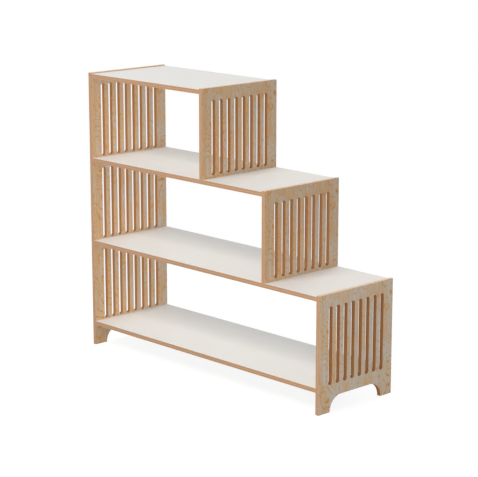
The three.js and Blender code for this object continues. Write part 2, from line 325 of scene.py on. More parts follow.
class FinishColours(bpy.types.PropertyGroup):
    """Colours of the finishes, as linear values."""

    birch_pale: tint("Birch, pale", "Greyish beige ground of the birch faces", (0.56, 0.52, 0.465))
    birch_warm: tint("Birch, warm", "Tan patches of the birch faces", (0.61, 0.42, 0.25))
    birch_figure: tint("Birch figure", "Ochre lines of the birch figure", (0.60, 0.275, 0.035))
    birch_grain: tint("Birch grain", "Tint of the fine grain over the other colours", (0.76, 0.66, 0.55))
    ply_pale: tint("Pale ply", "Plies cut along the grain", (0.57, 0.405, 0.285))
    ply_dark: tint("Dark ply", "Plies cut across the grain", (0.40, 0.19, 0.07))
    # The top edges' plies are lighter than the cut edges' plies: painted light from above
    lit_top_pale: tint("Top edge, pale", "Pale plies of the panels' top edges", (0.84, 0.66, 0.50))
    lit_top_dark: tint("Top edge, dark", "Dark plies of the panels' top edges", (0.74, 0.51, 0.33))
    # The routed plies are darker and redder than the cut plies: painted shade inside the slots and the arch
    shaded_routed_pale: tint("Routed, pale", "Pale plies in the slots and the arch", (0.42, 0.212, 0.094))
    shaded_routed_dark: tint("Routed, dark", "Dark plies in the slots and the arch", (0.345, 0.14, 0.048))
    glue_line: tint("Glue line", "Thin dark lines between the plies", (0.30, 0.15, 0.07))
    laminate: tint("Laminate", "White facing of the shelves", (0.80, 0.78, 0.76))
    laminate_edge: tint("Laminate edge", "Cut edge of the white facing", (0.42, 0.32, 0.24))
    laminate_mottle: tint("Laminate mottle", "Faint clouds in the white facing", (0.6, 0.58, 0.55))
    zinc: tint("Zinc", "Plated cams, bolts and screws", (0.46, 0.47, 0.48))
    zinc_bright: tint("Zinc, bright", "Clouds in the plating", (0.62, 0.62, 0.6))
    beech: tint("Beech", "Dowels", (0.60, 0.38, 0.21))
    beech_fleck: tint("Beech fleck", "Short dark flecks of the dowels", (0.34, 0.17, 0.08))


class StageSettings(bpy.types.PropertyGroup):
    """Camera, lamps and floor."""

    camera_place: bpy.props.FloatVectorProperty(
        name="Camera place",
        description="Where the camera stands",
        default=(4.7464, -4.515, 2.0137),
        subtype="TRANSLATION",
    )
    camera_turn: bpy.props.FloatVectorProperty(
        name="Camera turn",
        description="Tilt up from straight down, and turn to the left of the rear",
        default=(math.radians(77.23), 0, math.radians(46.294)),
        subtype="EULER",
    )
    camera_lens: bpy.props.FloatProperty(
        name="Camera lens", description="Focal length on a 36 mm wide sensor", default=128.17, unit="CAMERA"
    )
    front_lamp_power: watts("Front lamp", "Power of the lamp straight in front and above", 262)
    corner_lamp_power: watts("Corner lamp", "Power of the low lamp in front of the low side", 325)
    back_lamp_power: watts("Back lamp", "Power of the lamp behind", 240)
    side_lamp_power: watts("Side lamp", "Power of the low lamp beside the high side", 105)
    lamp_distance: metres("Lamp distance", "From each lamp to the middle of the bookshelf", 7.0)
    lamp_size: metres("Lamp size", "Side of each square lamp", 3.0)
    lamp_colour: tint("Lamp colour", "Slightly warm light of the three lamps not behind", (1.0, 0.95, 0.89))
    back_lamp_colour: tint("Back lamp colour", "Slightly cool light of the lamp behind", (0.9, 0.97, 1.0))
    room_colour: tint("Room colour", "Slightly cool light from all round", (0.94, 0.985, 1.0))
    room_light: amount("Room light", "Strength of the light from all round", 0.4)
    floor_grey: amount("Floor grey", "Grey of the floor as the bookshelf sees it", 0.35)


# Outlines


def rounded_loop(corners, radii, steps):
    """A closed outline of straight sides that meet at right angles in arcs.

    A point of an arc is its centre plus the radius times the outward normal, which turns from that of the
    side before the corner to that of the side after it. Where the outline bends inwards, the centre is
    outside and the radius counts as negative. Returns the points and their outward normals.
    """
    corners = np.asarray(corners, float)
    ahead = np.roll(corners, -1, axis=0) - corners
    ahead /= np.linalg.norm(ahead, axis=1, keepdims=True)
    coming = np.roll(ahead, 1, axis=0)
    outward = np.stack([coming[:, 1], -coming[:, 0]], axis=1)
    turn = np.sign(coming[:, 0] * ahead[:, 1] - coming[:, 1] * ahead[:, 0])
    reach = np.broadcast_to(np.asarray(radii, float), turn.shape)[:, None]
    bend = turn[:, None] * reach
    centres = corners - reach * coming - bend * outward
    angles = np.linspace(0, math.pi / 2, steps + 1)[None, :, None]
    sideways = turn[:, None, None] * coming[:, None]
    normals = outward[:, None] * np.cos(angles) + sideways * np.sin(angles)
    points = centres[:, None] + bend[:, None] * normals
    return without_repeats(points.reshape(-1, 2), normals.reshape(-1, 2))


def without_repeats(points, normals):
    """The same loop without points that lie on the one before."""
    apart = np.linalg.norm(points - np.roll(points, 1, axis=0), axis=1) > TOUCHING
    return points[apart], normals[apart]


def rectangle(low, high):
    """The four corners of a rectangle, anticlockwise."""
    return [(low[0], low[1]), (high[0], low[1]), (high[0], high[1]), (low[0], high[1])]


def circle(centre, radius, steps):
    """A circle: centre plus radius times (cosine, sine)."""
    angles = np.linspace(0, 2 * math.pi, steps, endpoint=False)
    normals = np.stack([np.cos(angles), np.sin(angles)], axis=1)
    return np.asarray(centre) + radius * normals, normals


def as_hole(loop):
    """A loop run the other way round, with its normals towards its middle, as the rim of a hole."""
    points, normals = loop
    return points[::-1], -normals[::-1]


def middle_of(lowest, highest, *axes):
    """The middle of a box along the named axes."""
    return tuple((lowest[axis] + highest[axis]) / 2 for axis in axes)


# Boards


class Board(NamedTuple):
    """A board between two heights, with the arris round its edges.

    The order names the axes that an outline's two directions and the height run along. The shifts are those
    of the pattern on the low face and on the high face.
    """

    low: float
    high: float
    arris: float
    order: tuple
    shifts: tuple


class Shell:
    """The faces of one closed piece, gathered block by block as whole arrays."""

    def __init__(self):
        self.points = []
        self.count = 0
        self.faces = []
        self.marks = []
        self.normals = []
        self.finishes = []

    def place(self, points):
        """Adds points, and returns the number of the first."""
        first = self.count
        self.points.append(points)
        self.count += len(points)
        return first

    def cover(self, corners, marks, normals, finish):
        """Adds faces with the same number of corners. Each corner has its own pattern place and normal."""
        self.faces.extend(corners.tolist())
        self.marks.append(marks.reshape(-1, 2))
        self.normals.append(normals.reshape(-1, 3))
        self.finishes.append(np.broadcast_to(finish, len(corners)))

    def mesh(self, name, materials):
        """One mesh of all the faces, with their finishes, pattern map and normals."""
        data = bpy.data.meshes.new(name)
        data.from_pydata(np.concatenate(self.points).tolist(), [], self.faces)
        for material in materials:
            data.materials.append(material)
        data.polygons.foreach_set("material_index", np.concatenate(self.finishes))
        pattern = data.uv_layers.new(name=PATTERN_MAP)
        pattern.data.foreach_set("uv", np.concatenate(self.marks).astype(np.float32).ravel())
        data.shade_smooth()
        data.normals_split_custom_set(np.concatenate(self.normals).tolist())
        data.update()
        return data


def wall_profile(low, high, arris):
    """From one face of a board to the other: a quarter circle, a straight side and a quarter circle.

    Returns, for each row, how far it is set in, its height, and the outward and upward parts of its normal.
    """
    angles = np.linspace(0, math.pi / 2, ARRIS_STEPS + 1) if arris > 0 else np.array([math.pi / 2])
    inset = arris * (1 - np.sin(angles))
    rise = arris * (1 - np.cos(angles))
    insets = np.concatenate([inset, inset[::-1]])
    heights = np.concatenate([low + rise, high - rise[::-1]])
    sideways = np.concatenate([np.sin(angles), np.sin(angles)[::-1]])
    upwards = np.concatenate([-np.cos(angles), np.cos(angles)[::-1]])
    return insets, heights, sideways, upwards


def to_frame(flat, heights, order):
    """Puts flat coordinates and a height into the frame: order names where each goes among X, Y and Z."""
    stacked = np.concatenate([flat, heights[..., None]], axis=-1)
    placed = np.empty_like(stacked)
    placed[..., list(order)] = stacked
    return placed


def face_normal(upward, order):
    """The way that a flat face looks, along the axis of the heights."""
    return to_frame(np.zeros((1, 2)), np.array([1.0 if upward else -1.0]), order)


def add_wall(shell, loop, profile, order, finish):
    """A profile carried along a loop: each row is the loop, moved in by the profile's inset, at its height.

    The finish is one number, or one for each side of the loop. Returns the points of its first and last
    rows with their places in the shell.
    """
    points, normals = loop
    insets, heights, sideways, upwards = profile
    rows, columns = len(insets), len(points)
    flat = points[None] - insets[:, None, None] * normals[None]
    tall = np.broadcast_to(heights[:, None], (rows, columns))
    first = shell.place(to_frame(flat, tall, order).reshape(-1, 3))
    upright = np.broadcast_to(upwards[:, None], (rows, columns))
    lean = to_frame(normals[None] * sideways[:, None, None], upright, order)
    sides = np.linalg.norm(np.roll(points, -1, axis=0) - points, axis=1)
    along = np.concatenate([[0], np.cumsum(sides)])
    row, column = np.meshgrid(np.arange(rows - 1), np.arange(columns), indexing="ij")
    rows_of = np.stack([row, row, row + 1, row + 1], axis=-1).reshape(-1, 4)
    columns_of = np.stack([column, column + 1, column + 1, column], axis=-1).reshape(-1, 4)
    wrapped = columns_of % columns
    marks = np.stack([heights[rows_of] - heights[0], along[columns_of]], axis=-1)
    finishes = np.broadcast_to(finish, (rows - 1, columns)).ravel()
    shell.cover(first + rows_of * columns + wrapped, marks, lean[rows_of, wrapped], finishes)
    last = first + (rows - 1) * columns
    return (flat[0], first + np.arange(columns)), (flat[-1], last + np.arange(columns))


def signed_area(points):
    """Twice the area of each polygon in an array of polygons, positive where it runs anticlockwise."""
    ahead = np.roll(points, -1, axis=-2)
    return (points[..., 0] * ahead[..., 1] - points[..., 1] * ahead[..., 0]).sum(axis=-1)


def add_face(shell, rims, upward, order, shift):
    """A flat face between an outer rim and the rims of its holes, cut into triangles.

    The pattern's place is the flat place plus the shift.
    """
    flat = np.concatenate([points for points, _ in rims])
    places = np.concatenate([index for _, index in rims])
    loops = [np.pad(points, ((0, 0), (0, 1))).tolist() for points, _ in rims]
    triangles = np.array(tessellate_polygon(loops))
    areas = signed_area(flat[triangles])
    wanted = abs(sum(float(signed_area(points)) for points, _ in rims))
    if abs(np.abs(areas).sum() - wanted) > wanted * SPARE_AREA_SHARE:
        raise RuntimeError("a board's face couldn't be filled between its holes")
    clockwise = (areas < 0) == upward
    triangles[clockwise] = triangles[clockwise][:, ::-1]
    normals = np.broadcast_to(face_normal(upward, order), triangles.shape + (3,))
    shell.cover(places[triangles], flat[triangles] + np.asarray(shift), normals, FACE)


def add_end(shell, rim, upward, order):
    """The flat end of a blind bore, as one face."""
    points, places = (part[::-1] if upward else part for part in rim)
    normals = np.broadcast_to(face_normal(upward, order), (1, len(points), 3))
    shell.cover(places[None], points, normals, ROUTED_EDGE)


def add_board(shell, board, outline, edge_finish, openings):
    """A board with openings that pass through or end blind.

    Each opening is (loop, its low end, its high end, its arris). One whose ends reach both faces passes
    through. The board's faces have the finish FACE, the sides of its outline the edge finish, and the walls
    of its openings the finish ROUTED_EDGE.
    """
    profile = wall_profile(board.low, board.high, board.arris)
    bottom, top = add_wall(shell, outline, profile, board.order, edge_finish)
    low_rims, high_rims = [bottom], [top]
    for loop, start, end, arris in openings:
        profile = wall_profile(start, end, arris)
        bottom, top = add_wall(shell, as_hole(loop), profile, board.order, ROUTED_EDGE)
        if start <= board.low:
            low_rims.append(bottom)
        else:
            add_end(shell, bottom, True, board.order)
        if end >= board.high:
            high_rims.append(top)
        else:
            add_end(shell, top, False, board.order)
    add_face(shell, low_rims, False, board.order, board.shifts[0])
    add_face(shell, high_rims, True, board.order, board.shifts[1])


def show(name, data, node):
    """Links a finished mesh as a piece that rides on the bookshelf and stands for its CAD node."""
    piece = bpy.data.objects.new(name, data)
    bpy.context.scene.collection.objects.link(piece)
    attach(piece, "root")
    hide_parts(node)
    return piece


# Side panels


def stands_on_floor(box):
    return box[0].z < TOUCHING


def panel_outline(box, sizes):
    """Outline of a panel over depth and height: a rectangle, with an arch if it stands on the floor."""
    front, rear, base, top = box[0].y, box[1].y, box[0].z, box[1].z
    arris = sizes.panel_arris
    if not stands_on_floor(box):
        return rounded_loop(rectangle((front, base), (rear, top)), arris, ARRIS_STEPS)
    arch = [
        (front + sizes.foot_width, base),
        (front + sizes.foot_width, base + sizes.arch_height),
        (rear - sizes.foot_width, base + sizes.arch_height),
        (rear - sizes.foot_width, base),
    ]
    corners = [(front, base), *arch, (rear, base), (rear, top), (front, top)]
    bend = sizes.arch_height - arris
    radii = [arris, arris, bend, bend, arris, arris, arris, arris]
    return rounded_loop(corners, radii, ARCH_STEPS)


def edge_finishes(box, outline, sizes):
    """Finish of each side of a panel's outline: routed in the arch, and where it faces up a lighter copy of
    the cut edge, painted light from above.
    """
    points, normals = outline
    finishes = np.where(normals[:, 1] > math.sqrt(0.5), LIT_TOP_EDGE, CUT_EDGE)
    if stands_on_floor(box):
        (middle,) = middle_of(*box, 1)
        half_arch = box[1].y - middle - sizes.foot_width
        in_arch = np.abs(points[:, 0] - middle) < half_arch + TOUCHING
        in_arch &= points[:, 1] < box[0].z + sizes.arch_height + TOUCHING
        finishes[in_arch] = ROUTED_EDGE
    return finishes


def panel_slots(box, sizes):
    """The upright slots between each pair of shelves that the panel spans, each with half round ends."""
    rise = sizes.slot_rise_tall if stands_on_floor(box) else sizes.slot_rise_short
    room = box[1].y - box[0].y - 2 * sizes.slot_edge_margin - sizes.slot_width
    count = int((room + TOUCHING) / sizes.slot_pitch) + 1
    middles = (np.arange(count) - (count - 1) / 2) * sizes.slot_pitch
    half = sizes.slot_width / 2
    tops = sorted(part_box(f"{shelf}_upper_facing")[1].z for shelf in SHELVES)
    slots = []
    for lower, upper in zip(tops[:-1], tops[1:]):
        if lower >= box[0].z - TOUCHING and upper <= box[1].z:
            for y in middles:
                corners = rectangle((y - half, lower + rise), (y + half, upper - sizes.slot_drop))
                slots.append(rounded_loop(corners, half, SLOT_STEPS))
    return slots


def blind_bores(box, fittings):
    """Openings of a panel for the cam bolts and dowels that reach into its inner face."""
    bores = []
    for node in CAM_BOLTS + DOWELS:
        lowest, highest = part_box(node)
        beside = lowest.x < box[1].x and highest.x > box[0].x
        if beside and lowest.z < box[1].z and highest.z > box[0].z:
            depth = min(highest.x, box[1].x) - max(lowest.x, box[0].x) + fittings.fit_gap
            from_right = highest.x > box[1].x
            ends = (box[1].x - depth, box[1].x) if from_right else (box[0].x, box[0].x + depth)
            radius = fittings.bolt_thread_radius if node in CAM_BOLTS else (highest.z - lowest.z) / 2
            rim = circle(middle_of(lowest, highest, 1, 2), radius + fittings.fit_gap, BORE_SIDES)
            bores.append((rim, *ends, 0))
    return bores


def panel_shell(node, sizes, fittings):
    """A panel: its outline carried along X through its thickness, less its slots and bores."""
    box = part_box(node)
    low, high = box[0].x, box[1].x
    shifts = ((OTHER_FACE_SHIFT, -box[1].z), (0, -box[1].z))
    board = Board(low, high, sizes.panel_arris, order=(1, 2, 0), shifts=shifts)
    outline = panel_outline(box, sizes)
    openings = [(slot, low, high, sizes.panel_arris) for slot in panel_slots(box, sizes)]
    openings += blind_bores(box, fittings)
    shell = Shell()
    add_board(shell, board, outline, edge_finishes(box, outline, sizes), openings)
    return shell


# White facings


def facing_openings(shelf, sheet, low, high, fittings):
    """Round holes in a facing for the cams, which are pressed in from below, and for the screws."""
    nodes = []
    if sheet == "lower":
        nodes += [node for node in CAM_LOCKS if node.startswith(shelf)]
    if shelf in CARRIED_PANELS:
        nodes += [node for node in SCREWS if node.startswith(CARRIED_PANELS[shelf])]
    openings = []
    for node in nodes:
        lowest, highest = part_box(node)
        radius = fittings.screw_shank_radius if sheet == "upper" else (highest.y - lowest.y) / 2
        rim = circle(middle_of(lowest, highest, 0, 1), radius + fittings.fit_gap, FACING_HOLE_SIDES)
        openings.append((rim, low, high, 0))
    return openings


def facing_shell(shelf, sheet, sizes, fittings):
    """A facing: a rectangle carried up through its thickness, less its round holes."""
    lowest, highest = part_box(f"{shelf}_{sheet}_facing")
    board = Board(lowest.z, highest.z, sizes.facing_arris, order=(0, 1, 2), shifts=((0, 0), (0, 0)))
    outline = rounded_loop(rectangle(lowest.xy, highest.xy), sizes.facing_arris, ARRIS_STEPS)
    openings = facing_openings(shelf, sheet, board.low, board.high, fittings)
    shell = Shell()
    add_board(shell, board, outline, CUT_EDGE, openings)
    return shell


# Turned fittings


def smoothed(data, material):
    """Finishes a fitting's mesh: one material, smooth between its sharp edges."""
    data.materials.append(material)
    data.shade_smooth()
    data.set_sharp_from_angle(angle=SHARP_ANGLE)
    data.update()
    return data


def turned_mesh(name, middle, direction, stretches, material):
    """A turned piece: middle + along * direction + radius * (side cos a + other sin a), with flat ends.

    Each stretch is an array of the places of its rings, and an array of a radius for each ring and angle.
    """
    along, radii = (np.concatenate(parts) for parts in zip(*stretches))
    rings, columns = radii.shape
    angles = np.linspace(0, 2 * math.pi, columns, endpoint=False)
    direction = np.asarray(direction, float)
    side = np.roll(direction, 1)
    other = np.cross(direction, side)
    spokes = np.cos(angles)[:, None] * side + np.sin(angles)[:, None] * other
    points = np.asarray(middle) + along[:, None, None] * direction + radii[..., None] * spokes[None]
    ring, column = np.meshgrid(np.arange(rings - 1) * columns, np.arange(columns), indexing="ij")
    after = (column + 1) % columns
    here, ahead = ring + column, ring + after
    quads = np.stack([here, ahead, ahead + columns, here + columns], axis=-1).reshape(-1, 4)
    start = np.arange(columns)[::-1].tolist()
    end = ((rings - 1) * columns + np.arange(columns)).tolist()
    data = bpy.data.meshes.new(name)
    data.from_pydata(points.reshape(-1, 3).tolist(), [], quads.tolist() + [start, end])
    return smoothed(data, material)


def plain_rings(rings, columns):
    """Round rings, each given by its place and its radius."""
    along, radii = np.array(rings, float).T
    return along, np.repeat(radii[:, None], columns, axis=1)


def thread_rings(along, columns, root, crest, pitch):
    """Root plus the thread's height times a triangle wave that moves on by one pitch in each turn."""
    turns = np.linspace(0, 1, columns, endpoint=False)
    phase = (along[:, None] / pitch - turns[None]) % 1
    return along, root + (crest - root) * (1 - np.abs(2 * phase - 1))


def hexagon_rings(rings, columns):
    """Hexagon whose radius is half its width across the flats over the cosine of the angle off a flat.

    Each ring has its place, that half width, and what is added to the radius.
    """
    along, flats, added = np.array(rings, float).T
    angles = np.linspace(0, 2 * math.pi, columns, endpoint=False)
    third = math.pi / 3
    off_flat = (angles + third / 2) % third - third / 2
    return along, flats[:, None] / np.cos(off_flat)[None] + added[:, None]


def bolt_mesh(node, fittings, material):
    """A cam bolt: a thread in the panel, a plain body, a neck and a rounded head, along X."""
    lowest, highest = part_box(node)
    left = "_left_" in node
    body = (highest.z - lowest.z) / 2
    crest = fittings.bolt_thread_radius
    root = crest * BOLT_ROOT_SHARE
    neck = fittings.bolt_neck_radius
    head = fittings.bolt_head_radius
    thread_end = fittings.bolt_thread_length
    body_start = thread_end + fittings.fit_gap
    body_end = body_start + fittings.bolt_body_length
    neck_end = body_end + fittings.bolt_neck_length
    head_end = neck_end + fittings.bolt_head_length
    thread = np.linspace(BOLT_RUN_IN, thread_end - BOLT_RUN_IN, BOLT_THREAD_RINGS)
    tip = [(0, root - BOLT_BEVEL), (BOLT_RUN_IN, root)]
    rest = [
        (body_start - BOLT_SHOULDER_STEP, root),
        (body_start, body - BOLT_BEVEL),
        (body_start + BOLT_BEVEL, body),
        (body_end - BOLT_BEVEL, body),
        (body_end, body - BOLT_BEVEL),
        (body_end, neck),
        (neck_end, neck),
        (neck_end + BOLT_HEAD_SHOULDER, head),
    ]
    crown = [(head_end - below, head - inward) for below, inward in BOLT_HEAD_CROWN]
    stretches = [
        plain_rings(tip, BOLT_SIDES),
        thread_rings(thread, BOLT_SIDES, root, crest, fittings.thread_pitch),
        plain_rings(rest + crown, BOLT_SIDES),
    ]
    start = lowest.x if left else highest.x
    direction = (1, 0, 0) if left else (-1, 0, 0)
    return turned_mesh(node, (start, *middle_of(lowest, highest, 1, 2)), direction, stretches, material)


def screw_mesh(node, fittings, material):
    """A countersunk screw that points up: hexagon socket, head, shank, thread and tip."""
    lowest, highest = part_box(node)
    shelf_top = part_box("second_shelf_upper_facing")[1].z
    shelf_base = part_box("second_shelf_lower_facing")[0].z
    length_over_all = highest.z - lowest.z
    shank_end = shelf_top - shelf_base - fittings.fit_gap
    thread_end = length_over_all - fittings.screw_tip_length
    crest = fittings.screw_thread_radius
    root = crest * SCREW_ROOT_SHARE
    shank = fittings.screw_shank_radius
    head = fittings.screw_head_radius
    flat = fittings.socket_radius
    socket = [(fittings.socket_depth, flat, 0), (SCREW_BEVEL, flat, 0), (0, flat, SCREW_BEVEL)]
    body = [
        (0, head - SCREW_BEVEL),
        (SCREW_HEAD_RIM, head),
        (fittings.screw_head_height, shank),
        (shank_end, shank),
        (shank_end, root),
    ]
    thread = np.linspace(shank_end + SCREW_RUN_IN, thread_end, SCREW_THREAD_RINGS)
    pitch = fittings.thread_pitch * SCREW_PITCH_SHARE
    stretches = [
        hexagon_rings(socket, SCREW_SIDES),
        plain_rings(body, SCREW_SIDES),
        thread_rings(thread, SCREW_SIDES, root, crest, pitch),
        plain_rings([(length_over_all - SCREW_BEVEL, SCREW_TIP_RADIUS)], SCREW_SIDES),
    ]
    middle = (*middle_of(lowest, highest, 0, 1), lowest.z)
    return turned_mesh(node, middle, (0, 0, 1), stretches, material)


def dowel_mesh(node, fittings, material):
    """A fluted dowel along X: a round bar less shallow waves round its side, tapered at both ends."""
    lowest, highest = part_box(node)
    radius = (highest.z - lowest.z) / 2
    angles = np.linspace(0, 2 * math.pi, DOWEL_SIDES, endpoint=False)
    flutes = fittings.flute_depth * (0.5 + 0.5 * np.cos(DOWEL_FLUTES * angles)) ** 2
    start = np.array([0, DOWEL_CHAMFER, 2 * DOWEL_CHAMFER])
    along = np.concatenate([start, highest.x - lowest.x - start[::-1]])
    tapers = np.array([DOWEL_CHAMFER, 0, 0, 0, 0, DOWEL_CHAMFER])
    fluted = np.array([0, 0, 1, 1, 0, 0])
    radii = radius - tapers[:, None] - fluted[:, None] * flutes[None]
    middle = (lowest.x, *middle_of(lowest, highest, 1, 2))
    return turned_mesh(node, middle, (1, 0, 0), [(along, radii)], material)


def cam_mesh(node, material):
    """The cam's CAD solid with its loose corners joined, ready for a bevel."""
    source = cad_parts[node].data
    points = np.empty(len(source.vertices) * 3, np.float32)
    source.vertices.foreach_get("co", points)
    source.calc_loop_triangles()
    triangles = np.empty(len(source.loop_triangles) * 3, np.int32)
    source.loop_triangles.foreach_get("vertices", triangles)
    points = points.reshape(-1, 3)
    spots = np.round(points / TOUCHING)
    _, first, joined = np.unique(spots, axis=0, return_index=True, return_inverse=True)
    faces = joined.reshape(-1)[triangles].reshape(-1, 3)
    whole = (faces != np.roll(faces, 1, axis=1)).all(axis=1)
    data = bpy.data.meshes.new(node)
    data.from_pydata(points[first].tolist(), [], faces[whole].tolist())
    return smoothed(data, material)


# Materials


class Nodes:
    """Adds shader nodes to one tree. An input is set by its name or number, to a value or to an output."""

    def __init__(self, tree):
        self.tree = tree

    def make(self, kind, inputs=None, **settings):
        """A new node."""
        node = self.tree.nodes.new(kind)
        for name, value in settings.items():
            setattr(node, name, value)
        for key, value in (inputs or {}).items():
            if isinstance(value, bpy.types.NodeSocket):
                self.tree.links.new(value, node.inputs[key])
            else:
                node.inputs[key].default_value = value
        return node

    def add(self, kind, inputs=None, **settings):
        """The first output of a new node."""
        outputs = self.make(kind, inputs, **settings).outputs
        return next(output for output in outputs if output.enabled)

    def math(self, operation, first, second=0.0):
        return self.add("ShaderNodeMath", {0: first, 1: second}, operation=operation)

    def vector(self, operation, first, second, third=(0, 0, 0)):
        return self.add("ShaderNodeVectorMath", {0: first, 1: second, 2: third}, operation=operation)

    def parts(self, vector):
        """The first, second and third part of a vector."""
        return self.make("ShaderNodeSeparateXYZ", {0: vector}).outputs

    def object_place(self):
        return self.make("ShaderNodeTexCoord").outputs["Object"]

    def ramp(self, value, low, high, low_out=0.0, high_out=1.0):
        """Value moved from one range to another, held at its ends."""
        ranges = {"From Min": low, "From Max": high, "To Min": low_out, "To Max": high_out}
        return self.add("ShaderNodeMapRange", {"Value": value, **ranges})

    def mix(self, share, first, second, blend="MIX"):
        """The first colour with a share of the second over it."""
        inputs = {0: share, 6: first, 7: second}
        return self.make("ShaderNodeMix", inputs, data_type="RGBA", blend_type=blend).outputs[2]

    def noise(self, place, noise):
        """The value of a noise at a place."""
        moves = {"Scale": noise.repeats, "Location": noise.start}
        spot = self.add("ShaderNodeMapping", {"Vector": place, **moves})
        inputs = {"Vector": spot, "Scale": 1.0, "Detail": noise.detail, "Roughness": noise.roughness}
        return self.add("ShaderNodeTexNoise", inputs)

    def faded(self, place, noise):
        """The share that a noise fades to at a place."""
        return self.ramp(self.noise(place, noise), *noise.fade, *noise.result)

    def shaken(self, place, repeats, reach):
        """A place moved by up to about the reach each way, by a coloured noise."""
        noise = self.make("ShaderNodeTexNoise", {"Vector": place, "Scale": repeats}).outputs["Color"]
        centred = self.vector("SUBTRACT", noise, (0.5, 0.5, 0.5))
        return self.vector("MULTIPLY_ADD", centred, (2 * reach, 2 * reach, 0), place)

    def hill(self, place, middle, reach, height):
        """Height times e to the minus square of the distance from the middle, measured in reaches."""
        offset = self.vector("SUBTRACT", place, (*middle, 0))
        distance = self.vector("MULTIPLY", offset, (1 / reach[0], 1 / reach[1], 0))
        square = self.vector("DOT_PRODUCT", distance, distance)
        return self.math("MULTIPLY", self.math("EXPONENT", self.math("MULTIPLY", square, -1.0)), height)

    def level_lines(self, height, narrow, wide):
        """One along the lines where the height passes a whole number and a half, fading out beside them."""
        off_line = self.math("ABSOLUTE", self.math("SUBTRACT", self.math("FRACT", height), 0.5))
        return self.ramp(off_line, narrow, wide, 1.0, 0.0)

    def seen_plainly(self):
        """One for a ray from the camera, a reflection or glass, and nothing for any other."""
        path = self.make("ShaderNodeLightPath").outputs
        seen = self.math("MAXIMUM", path["Is Camera Ray"], path["Is Glossy Ray"])
        return self.math("MAXIMUM", seen, path["Is Transmission Ray"])


def solid(colour):
    """A colour as a node takes it, with nothing seen through it."""
    return (*colour, 1.0)


def toned(colour, tone):
    """A colour with each of its parts taken times the same part of the tone."""
    return tuple(part * share for part, share in zip(colour, tone))


class Coat(Nodes):
    """The nodes of a new material that has one shader."""

    def __init__(self, name, finish):
        self.material = bpy.data.materials.new(name)
        self.material.use_nodes = True
        super().__init__(self.material.node_tree)
        self.finish = finish
        self.shader = self.tree.nodes["Principled BSDF"].inputs
        self.shader["Roughness"].default_value = finish.roughness
        self.shader["Metallic"].default_value = finish.metallic
        self.shader["Specular IOR Level"].default_value = finish.specular

    def vary_gloss(self, spot, noise):
        """Lets the roughness go up and down by what the noise fades to."""
        low, high = (self.finish.roughness + part for part in noise.result)
        gloss = self.ramp(self.noise(spot, noise), *noise.fade, low, high)
        self.tree.links.new(gloss, self.shader["Roughness"])

    def dressed(self, colour, height):
        """The material with its colour, and with a fine relief that follows the height."""
        depth = {"Distance": self.finish.relief, "Strength": 1.0}
        bump = self.add("ShaderNodeBump", {"Height": height, **depth})
        self.tree.links.new(colour, self.shader["Base Color"])
        self.tree.links.new(bump, self.shader["Normal"])
        return self.material


def board_place(nodes):
    """Place on a board, from the map that its mesh carries."""
    return nodes.add("ShaderNodeUVMap", uv_map=PATTERN_MAP)


def birch_figure(nodes, place, across):
    """Strength of the figure: level lines of a slow noise with hills in it, broken up, and small squiggles.

    The place is shaken by a finer noise first. On a panel's right face the lines are strongest near the
    front and rear edges, and on its left face they are as strong all over.
    """
    shaken = nodes.shaken(place, SHAKE_REPEATS, SHAKE_REACH)
    height = nodes.math("MULTIPLY", nodes.noise(shaken, FIGURE_NOISE), FIGURE_RINGS)
    for middle, reach, rings in FIGURE_HILLS:
        height = nodes.math("ADD", height, nodes.hill(shaken, middle, reach, rings))
    lines = nodes.level_lines(height, *FIGURE_LINE_SHARES)
    small_height = nodes.math("MULTIPLY", nodes.noise(shaken, SQUIGGLE_NOISE), SQUIGGLE_RINGS)
    small_lines = nodes.level_lines(small_height, *SQUIGGLE_LINE_SHARES)
    broken = nodes.math("MULTIPLY", lines, nodes.faded(place, FIGURE_BREAKS))
    squiggles = nodes.math("MULTIPLY", small_lines, nodes.faded(place, SQUIGGLE_SPOTS))
    off_middle = nodes.math("ABSOLUTE", nodes.math("SUBTRACT", across, FIGURE_MIDDLE))
    edgeward = nodes.ramp(off_middle, *FIGURE_FADE, *FIGURE_FADE_SHARES)
    return nodes.math("MULTIPLY", nodes.math("MAXIMUM", broken, squiggles), edgeward)


def lit_birch_face(panel, colours):
    """Clear lacquered birch veneer: greyish ground, tan patches and bands, ochre figure and fine grain.

    On the right face the ground is warmest near the front edge. Each panel's colours are made lighter or
    darker by its share, painted light and shade for the light that falls on that panel.
    """
    nodes = Coat(f"{panel}_birch_face", BIRCH_FINISH)
    own = (colours.birch_pale, colours.birch_warm, colours.birch_figure)
    # The veneer's colours are made lighter or darker by the panel's share: painted light and shade
    pale, warm, ochre = (solid(toned(colour, BIRCH_LIGHT_SHADE_SHARES[panel])) for colour in own)
    place = board_place(nodes)
    across = nodes.parts(place)[0]
    front, rear = cad_box[0][1], cad_box[1][1]
    frontward = nodes.ramp(across, front, rear, *BIRCH_WARMTH_SHARES[panel])
    patches = nodes.ramp(nodes.math("ADD", nodes.noise(place, BIRCH_MOTTLE), frontward), *PATCH_SHARES)
    warmth = nodes.math("ADD", patches, nodes.faded(place, BIRCH_BANDS))
    grain = nodes.faded(place, BIRCH_GRAIN)
    ground = nodes.mix(nodes.ramp(warmth, *WARM_SHARES), pale, warm)
    figured = nodes.mix(birch_figure(nodes, place, across), ground, ochre)
    grain_share = nodes.math("MULTIPLY", grain, GRAIN_SHARE)
    grained = nodes.mix(grain_share, figured, solid(colours.birch_grain), "MULTIPLY")
    return nodes.dressed(grained, grain)


